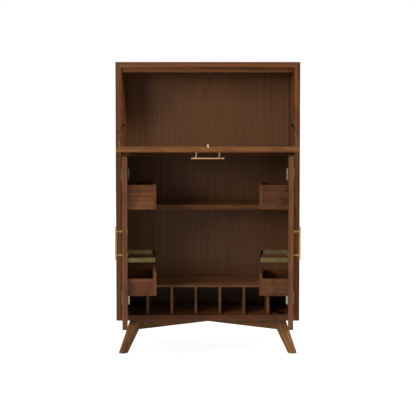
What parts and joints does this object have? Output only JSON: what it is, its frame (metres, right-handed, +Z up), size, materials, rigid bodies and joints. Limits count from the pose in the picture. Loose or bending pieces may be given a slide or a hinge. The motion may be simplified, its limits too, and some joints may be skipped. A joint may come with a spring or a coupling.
{
  "type": "bar cabinet",
  "caption": "Walnut bar cabinet on splayed tapered legs, with a drop-front lid on folding stays, hinged doors carrying bins and bottle rails, shelves and wine bays.",
  "frame": {"origin": "on the floor at the centre of the carcass's footprint", "axes": "+X to the right seen from the front, +Y to the back, +Z up; the doors and the lid face -Y"},
  "size_m": [0.914, 0.886, 1.46],
  "materials": {
    "carcass_walnut": "walnut, satin lacquer",
    "back_veneer": "walnut veneer with upright grain, satin lacquer",
    "leg_walnut": "solid walnut, satin lacquer",
    "lid_walnut": "walnut, satin lacquer",
    "door_walnut": "walnut with upright grain, satin lacquer",
    "bin_walnut": "walnut, satin lacquer",
    "handle_brass": "satin brass",
    "rail_brass": "satin brass",
    "hinge_nickel": "nickel-plated steel",
    "stay_steel": "dark nickel-plated steel",
    "screw_steel": "zinc-plated steel",
    "black_plastic": "black, matte"
  },
  "bodies": {
    "carcass": {"left_side_panel": "carcass_walnut", "right_side_panel": "carcass_walnut", "top_panel": "carcass_walnut", "bottom_panel": "carcass_walnut", "back_panel": "back_veneer", "deck": "carcass_walnut", "deck_rail": "carcass_walnut", "lid_stop_rail": "carcass_walnut", "mid_shelf": "carcass_walnut", "shelf_pins": "screw_steel", "cubby_shelf": "carcass_walnut", "wine_dividers": "carcass_walnut", "front_left_leg": "leg_walnut", "front_right_leg": "leg_walnut", "rear_left_leg": "leg_walnut", "rear_right_leg": "leg_walnut", "foot_glides": "black_plastic", "front_apron": "leg_walnut", "rear_apron": "leg_walnut", "leg_bolts": "screw_steel", "leg_bolt_caps": "black_plastic", "lid_catch": "black_plastic", "door_catches": "black_plastic", "door_hinge_frame_leaves": "hinge_nickel", "door_hinge_pins": "hinge_nickel", "lid_hinge_deck_leaves": "hinge_nickel", "lid_hinge_pins": "hinge_nickel", "stay_wall_plates": "stay_steel"},
    "lid": {"lid_panel": "lid_walnut", "lid_handle": "handle_brass", "lid_handle_screws": "screw_steel", "lid_hinge_leaves": "hinge_nickel", "lid_strike": "screw_steel", "stay_lid_brackets": "stay_steel"},
    "left_door": {"left_door_panel": "door_walnut", "left_door_hinge_leaves": "hinge_nickel", "left_door_handle": "handle_brass", "left_door_handle_screws": "screw_steel", "left_door_strike": "screw_steel", "left_upper_bin_front": "bin_walnut", "left_upper_bin_ends": "bin_walnut", "left_lower_bin_front": "bin_walnut", "left_lower_bin_ends": "bin_walnut", "left_bin_bottoms": "bin_walnut", "left_bottle_rail": "rail_brass"},
    "right_door": {"right_door_panel": "door_walnut", "right_door_hinge_leaves": "hinge_nickel", "right_door_handle": "handle_brass", "right_door_handle_screws": "screw_steel", "right_door_strike": "screw_steel", "right_upper_bin_front": "bin_walnut", "right_upper_bin_ends": "bin_walnut", "right_lower_bin_front": "bin_walnut", "right_lower_bin_ends": "bin_walnut", "right_bin_bottoms": "bin_walnut", "right_bottle_rail": "rail_brass"},
    "left_stay_wall_link": {"left_stay_wall_link": "stay_steel"},
    "left_stay_lid_link": {"left_stay_lid_link": "stay_steel"},
    "right_stay_wall_link": {"right_stay_wall_link": "stay_steel"},
    "right_stay_lid_link": {"right_stay_lid_link": "stay_steel"}
  },
  "joints": [
    {"name": "lid_hinge", "type": "hinge", "parent": "carcass", "child": "lid", "pos_m": [0, -0.2032, 1.0463], "axis": [-1, 0, 0], "range_deg": [0, 90]},
    {"name": "left_door_hinge", "type": "hinge", "parent": "carcass", "child": "left_door", "pos_m": [-0.4275, -0.2328, 0.602], "axis": [0, 0, 1], "range_deg": [-24, 86]},
    {"name": "right_door_hinge", "type": "hinge", "parent": "carcass", "child": "right_door", "pos_m": [0.4275, -0.2328, 0.602], "axis": [0, 0, -1], "range_deg": [-24, 86]},
    {"name": "left_stay_wall_pivot", "type": "hinge", "parent": "carcass", "child": "left_stay_wall_link", "pos_m": [-0.42545, -0.1685, 1.148], "axis": [-1, 0, 0], "range_deg": [0, 159.95]},
    {"name": "left_stay_lid_pivot", "type": "hinge", "parent": "lid", "child": "left_stay_lid_link", "pos_m": [-0.42265, -0.4432, 1.0583], "axis": [-1, 0, 0], "range_deg": [-52.43, 0]},
    {"name": "right_stay_wall_pivot", "type": "hinge", "parent": "carcass", "child": "right_stay_wall_link", "pos_m": [0.42545, -0.1685, 1.148], "axis": [-1, 0, 0], "range_deg": [0, 159.95]},
    {"name": "right_stay_lid_pivot", "type": "hinge", "parent": "lid", "child": "right_stay_lid_link", "pos_m": [0.42265, -0.4432, 1.0583], "axis": [-1, 0, 0], "range_deg": [-52.43, 0]}
  ],
  "couplings": [
    {"joint": "left_stay_wall_pivot", "follows": "lid_hinge", "ratio": 1.775},
    {"joint": "left_stay_lid_pivot", "follows": "lid_hinge", "ratio": -0.58028},
    {"joint": "right_stay_wall_pivot", "follows": "lid_hinge", "ratio": 1.775},
    {"joint": "right_stay_lid_pivot", "follows": "lid_hinge", "ratio": -0.58028}
  ]
}
